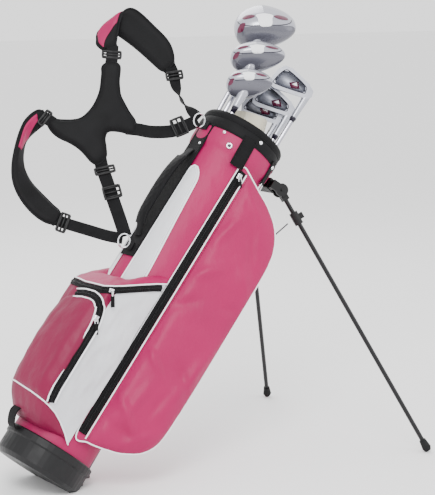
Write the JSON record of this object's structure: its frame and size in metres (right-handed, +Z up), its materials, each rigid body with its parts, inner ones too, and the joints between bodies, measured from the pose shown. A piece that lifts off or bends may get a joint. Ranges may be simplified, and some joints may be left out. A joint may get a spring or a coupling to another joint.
{
  "type": "golf club set",
  "caption": "Junior golf set: leaning stand bag on two folding legs, with harness, pockets, woods, irons and a putter.",
  "frame": {"origin": "centre of the object's box, on the floor that it stands on", "axes": "+Z up, +X towards the legs the bag leans on, -Y the side with the big pocket"},
  "size_m": [0.8136, 0.529, 0.8818],
  "materials": {
    "body_fabric": "coated nylon, light sheen",
    "pocket_fabric": "coated nylon with seams and piping",
    "black_webbing": "woven",
    "pad_fabric": "mesh over foam",
    "moulded_plastic": "fine texture",
    "stand_tube": "satin",
    "wire_steel": "drawn wire",
    "ring_steel": "polished",
    "tip_rubber": "matte",
    "grip_rubber": "patterned",
    "wood_head_paint": "pearl",
    "iron_head_steel": "satin and polished",
    "shaft_metal": "gloss",
    "putter_paint": "satin cream"
  },
  "bodies": {
    "bag": {"base_cup": "moulded_plastic", "shell": "body_fabric", "collar": "pad_fabric", "top_divider": "moulded_plastic", "spine_strip": "black_webbing", "carry_handle": "pad_fabric", "apparel_pocket": "pocket_fabric", "ball_pocket": "pocket_fabric", "leg_bracket": "moulded_plastic", "base_loop": "black_webbing", "collar_tab": "black_webbing", "towel_strap": "black_webbing", "ring_upper": "ring_steel", "ring_lower": "ring_steel", "ring_tab_upper": "black_webbing", "ring_tab_lower": "black_webbing", "foot_pin": "wire_steel"},
    "leg_near": {"leg_knuckle_near": "moulded_plastic", "leg_tube_near": "stand_tube", "leg_clip_near": "moulded_plastic", "leg_tip_near": "tip_rubber"},
    "leg_far": {"leg_knuckle_far": "moulded_plastic", "leg_tube_far": "stand_tube", "leg_clip_far": "moulded_plastic", "leg_tip_far": "tip_rubber"},
    "foot": {"pivot_foot": "moulded_plastic"},
    "runner": {"stay_runner": "moulded_plastic"},
    "rod": {"push_rod": "wire_steel"},
    "stay_near": {"stay_wire_near": "wire_steel"},
    "stay_far": {"stay_wire_far": "wire_steel"},
    "harness": {"back_pad": "pad_fabric", "shoulder_pad_upper": "pad_fabric", "shoulder_pad_lower": "pad_fabric", "strap_upper_shoulder": "black_webbing", "strap_upper_back": "black_webbing", "strap_lower_back": "black_webbing", "strap_lower_shoulder": "black_webbing"},
    "apparel_zip": {"apparel_slider": "ring_steel"},
    "ball_zip": {"ball_slider": "ring_steel"},
    "driver": {"driver_head": "wood_head_paint", "driver_shaft": "shaft_metal", "driver_grip": "grip_rubber"},
    "fairway_wood": {"fairway_wood_head": "wood_head_paint", "fairway_wood_shaft": "shaft_metal", "fairway_wood_grip": "grip_rubber"},
    "hybrid": {"hybrid_head": "wood_head_paint", "hybrid_shaft": "shaft_metal", "hybrid_grip": "grip_rubber"},
    "iron_long": {"iron_long_head": "iron_head_steel", "iron_long_shaft": "shaft_metal", "iron_long_grip": "grip_rubber"},
    "iron_mid": {"iron_mid_head": "iron_head_steel", "iron_mid_shaft": "shaft_metal", "iron_mid_grip": "grip_rubber"},
    "iron_short": {"iron_short_head": "iron_head_steel", "iron_short_shaft": "shaft_metal", "iron_short_grip": "grip_rubber"},
    "putter": {"putter_head": "putter_paint", "putter_shaft": "shaft_metal", "putter_grip": "grip_rubber"}
  },
  "joints": [
    {"name": "leg_near_fold", "type": "hinge", "parent": "bag", "child": "leg_near", "pos_m": [0.18142, -0.055, 0.5178], "axis": [0.2974, 0.9245, -0.2383], "range_deg": [0, 63.6]},
    {"name": "leg_far_fold", "type": "hinge", "parent": "bag", "child": "leg_far", "pos_m": [0.18142, 0.055, 0.5178], "axis": [-0.2974, 0.9245, 0.2383], "range_deg": [0, 63.7]},
    {"name": "foot_fold", "type": "hinge", "parent": "bag", "child": "foot", "pos_m": [-0.30854, 0, 0.0025], "axis": [0, 1, 0], "range_deg": [0, 38.9]},
    {"name": "runner_slide", "type": "slide", "parent": "bag", "child": "runner", "axis": [-0.6252, 0, -0.7804], "range_m": [0, 0.0445]},
    {"name": "rod_swing", "type": "hinge", "parent": "runner", "child": "rod", "pos_m": [-0.05912, 0, 0.24154], "axis": [0, -1, 0], "range_deg": [0, 2.8]},
    {"name": "stay_near_swing", "type": "hinge", "parent": "runner", "child": "stay_near", "pos_m": [-0.04678, -0.009, 0.25215], "axis": [-0.3879, -0.8965, 0.2139], "range_deg": [0, 10.24]},
    {"name": "stay_far_swing", "type": "hinge", "parent": "runner", "child": "stay_far", "pos_m": [-0.04678, 0.009, 0.25215], "axis": [0.3879, -0.8965, -0.2139], "range_deg": [0, 10.24]},
    {"name": "harness_swing", "type": "hinge", "parent": "bag", "child": "harness", "pos_m": [-0.05859, 0, 0.55248], "axis": [0.6252, 0, 0.7804], "range_deg": [-30, 30]},
    {"name": "apparel_zip_slide", "type": "slide", "parent": "bag", "child": "apparel_zip", "axis": [-0.6252, 0, -0.7804], "range_m": [0, 0.5]},
    {"name": "ball_zip_slide", "type": "slide", "parent": "bag", "child": "ball_zip", "axis": [-0.6252, 0, -0.7804], "range_m": [0, 0.15]},
    {"name": "driver_draw", "type": "slide", "parent": "bag", "child": "driver", "axis": [0.5944, 0.0245, 0.8038], "range_m": [0, 0.45]},
    {"name": "fairway_wood_draw", "type": "slide", "parent": "bag", "child": "fairway_wood", "axis": [0.5873, 0.0137, 0.8093], "range_m": [0, 0.008]},
    {"name": "hybrid_draw", "type": "slide", "parent": "bag", "child": "hybrid", "axis": [0.5783, 0.0073, 0.8158], "range_m": [0, 0.006]},
    {"name": "iron_long_draw", "type": "slide", "parent": "bag", "child": "iron_long", "axis": [0.6293, -0.0053, 0.7771], "range_m": [0, 0.004]},
    {"name": "iron_mid_draw", "type": "slide", "parent": "bag", "child": "iron_mid", "axis": [0.6227, -0.0027, 0.7824], "range_m": [0, 0.006]},
    {"name": "iron_short_draw", "type": "slide", "parent": "bag", "child": "iron_short", "axis": [0.6299, -0.0141, 0.7765], "range_m": [0, 0.1]},
    {"name": "putter_draw", "type": "slide", "parent": "bag", "child": "putter", "axis": [0.6485, -0.0122, 0.7611], "range_m": [0, 0.0015]}
  ],
  "couplings": [
    {"joint": "leg_far_fold", "follows": "leg_near_fold", "ratio": 1},
    {"joint": "foot_fold", "follows": "leg_near_fold", "ratio": 0.6085},
    {"joint": "runner_slide", "follows": "leg_near_fold", "m_per_rad": 0.0396},
    {"joint": "rod_swing", "follows": "leg_near_fold", "ratio": 0.0427},
    {"joint": "stay_near_swing", "follows": "leg_near_fold", "ratio": 0.15783},
    {"joint": "stay_far_swing", "follows": "leg_near_fold", "ratio": 0.15783}
  ]
}
